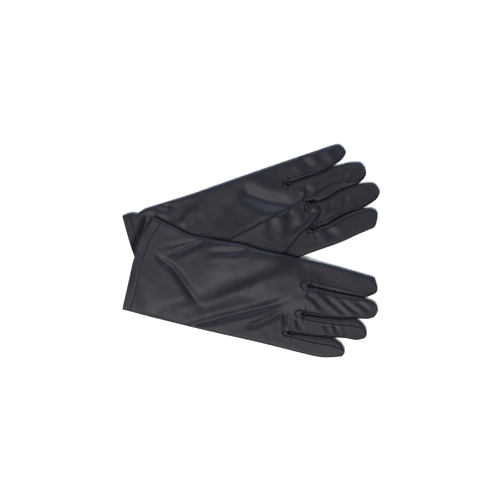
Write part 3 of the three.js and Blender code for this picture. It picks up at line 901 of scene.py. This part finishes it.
def stitchRow(name, glove, path, up, sunk):  # short stitches of thread lying along a path, as one piece
    look = threadSize
    path = np.array(path, float)
    run = np.concatenate([[0], np.cumsum(np.linalg.norm(np.diff(path, axis=0), axis=1))])
    verts, polys = [], []
    sides = look["sides"]
    radius = look["thick"] / 2
    for start in np.arange(0.4, run[-1] - look["stitch"], look["every"]):
        ring = []
        for share, swell, drop in stitchShape:
            at = start + share * look["stitch"]
            here = np.array([np.interp(at, run, path[:, k]) for k in range(3)])
            ahead = np.array([np.interp(at + 0.2, run, path[:, k]) for k in range(3)])
            behind = np.array([np.interp(at - 0.2, run, path[:, k]) for k in range(3)])
            axis = (ahead - behind) / max(np.linalg.norm(ahead - behind), 1e-9)
            out = np.array(up, float)
            out -= axis * (out @ axis)
            out /= np.linalg.norm(out)
            wide = np.cross(axis, out)
            middle = here + out * (radius * (1 - sunk) - drop)
            for k in range(sides):
                turn = 2 * math.pi * k / sides
                ring.append(middle + radius * swell * (math.cos(turn) * wide + math.sin(turn) * out))
        first = len(verts)
        verts += ring
        for r in range(4):
            for k in range(sides):
                a, b = first + r * sides + k, first + r * sides + (k + 1) % sides
                polys.append([a, b, b + sides, a + sides])
        polys.append([first + k for k in reversed(range(sides))])
        polys.append([first + 4 * sides + k for k in range(sides)])
    verts = np.array(verts)
    table = np.column_stack([toTable(glove, verts[:, :2]), verts[:, 2]]) * mm
    if glove["mirror"]:
        polys = [ring[::-1] for ring in polys]
    mesh = bpy.data.meshes.new(name)
    mesh.from_pydata(table.tolist(), [], polys)
    mesh.polygons.foreach_set("use_smooth", [True] * len(mesh.polygons))
    mesh.materials.append(sewingThread)
    obj = bpy.data.objects.new(name, mesh)
    bpy.context.scene.collection.objects.link(obj)
    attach(obj, f"{glove['side']}_hand")
    return obj


def sewGlove(glove):  # the rows of stitches of the hems, the side seam and the thumb seam
    side, lanes = glove["side"], glove["lanes"]
    hemRow = hemLook["lastRow"]
    for layer, up in (("palm", (0, 0, 1)), ("back", (0, 0, -1))):
        runs = [np.column_stack([lane["xy"][hemRow, ::-1], lane[layer][hemRow, ::-1]]) for lane in lanes]
        runs[0], runs[3] = runs[0][3:], runs[3][:-3]     # the row stops short of both edges
        sunk = 0.2 if layer == "palm" else 1.4
        row = stitchRow(pieceName(side, f"{layer}_hem_stitching"), glove, np.vstack(runs), up, sunk)
        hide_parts(f"{side}_{layer}_hem_stitching")
    lane = lanes[3]
    rows = (lane["x"] > 10) & (lane["x"] < 146)
    path = np.column_stack([lane["xy"][rows, 0], (lane["palm"][rows, 0] + lane["back"][rows, 0]) / 2])
    row = stitchRow(pieceName(side, "side_seam"), glove, path, (0, -1, 0), 1.5)
    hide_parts(f"{side}_side_seam")
    lane = lanes[0]
    rows = (lane["x"] > 52) & (lane["x"] < 112)
    path = np.column_stack([lane["xy"][rows, -1], (lane["palm"][rows, -1] + lane["back"][rows, -1]) / 2])
    row = stitchRow(pieceName(side, "thumb_seam"), glove, path, (0, 1, 0), 1.5)
    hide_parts(f"{side}_thumb_seam")
    print(side, "glove sewn")


for glove in (rightGlove, leftGlove):
    placeGlove(glove)


draping = {"underThumb": (1.3, 3), "overRight": (3, 6), "overThumb": (3, 9)}     # mm bridged, and mm settled


def onTable(xy):
    return np.zeros(len(xy))


dressGlove(rightGlove, onTable)
rightPts = rightGlove["surface"][0]
rightTop = np.column_stack([toTable(rightGlove, rightPts[:, :2]), rightPts[:, 2]])
palmTop = HeightMap(1.2)
palmTop.add(rightTop)
underThumb = drapedOn(palmTop, *draping["underThumb"])
thumbTop = dressThumb(rightGlove, lambda xy: underThumb.at(toTable(rightGlove, xy)))
sewGlove(rightGlove)

heap = HeightMap()
heap.add(rightTop)
heap.add(thumbTop)
heap.disc(2, np.maximum)
overRight = drapedOn(heap, *draping["overRight"])
thumbTop = dressThumb(leftGlove, lambda xy: overRight.at(toTable(leftGlove, xy)))
heap.z = overRight.z.copy()
thumbHeap = HeightMap()
thumbHeap.add(thumbTop)
thumbHeap.disc(2, np.maximum)
heap.z = np.maximum(heap.z, thumbHeap.z)
overThumb = drapedOn(heap, *draping["overThumb"])
dressGlove(leftGlove, lambda xy: overThumb.at(toTable(leftGlove, xy)))
sewGlove(leftGlove)

skyLook = {"colour": (0.78, 0.88, 1.0), "strength": 0.36}
tableLook = {"size": 3.0, "below": 0.0002, "colour": (0.95, 0.95, 0.95)}
lights = {
    "window": {"place": (-0.42, -0.9, 1.7), "size": 1.1, "power": 60, "colour": (1.0, 0.955, 0.92)},
    "room": {"place": (0.2, 1.7, 0.75), "size": 1.1, "power": 34, "colour": (0.70, 0.82, 1.0)},
}
half, low = tableLook["size"] / 2, -tableLook["below"]
tableMesh = bpy.data.meshes.new("table")
corners = [(-half, -half, low), (half, -half, low), (half, half, low), (-half, half, low)]
tableMesh.from_pydata(corners, [], [(0, 1, 2, 3)])
table = bpy.data.objects.new("table", tableMesh)
bpy.context.scene.collection.objects.link(table)
paper = bpy.data.materials.new("paper")
paper.use_nodes = True
paperShader = paper.node_tree.nodes["Principled BSDF"]
paperShader.inputs["Base Color"].default_value = (*tableLook["colour"], 1)
paperShader.inputs["Roughness"].default_value = 0.9
paperShader.inputs["Specular IOR Level"].default_value = 0.1
table.data.materials.append(paper)
for name, light in lights.items():
    data = bpy.data.lights.new(name, "AREA")
    data.shape = "DISK"
    data.size = light["size"]
    data.energy = light["power"]
    data.color = light["colour"]
    lamp = bpy.data.objects.new(name, data)
    lamp.location = light["place"]
    lamp.rotation_euler = (Vector((0, 0, 0)) - Vector(light["place"])).to_track_quat("-Z", "Y").to_euler()
    bpy.context.scene.collection.objects.link(lamp)
world = bpy.data.worlds.new("room")
bpy.context.scene.world = world
world.use_nodes = True
sky = world.node_tree.nodes["Background"]
sky.inputs["Color"].default_value = (*skyLook["colour"], 1)
sky.inputs["Strength"].default_value = skyLook["strength"]
bpy.context.scene.view_settings.view_transform = "Standard"
print("table and lights ready")
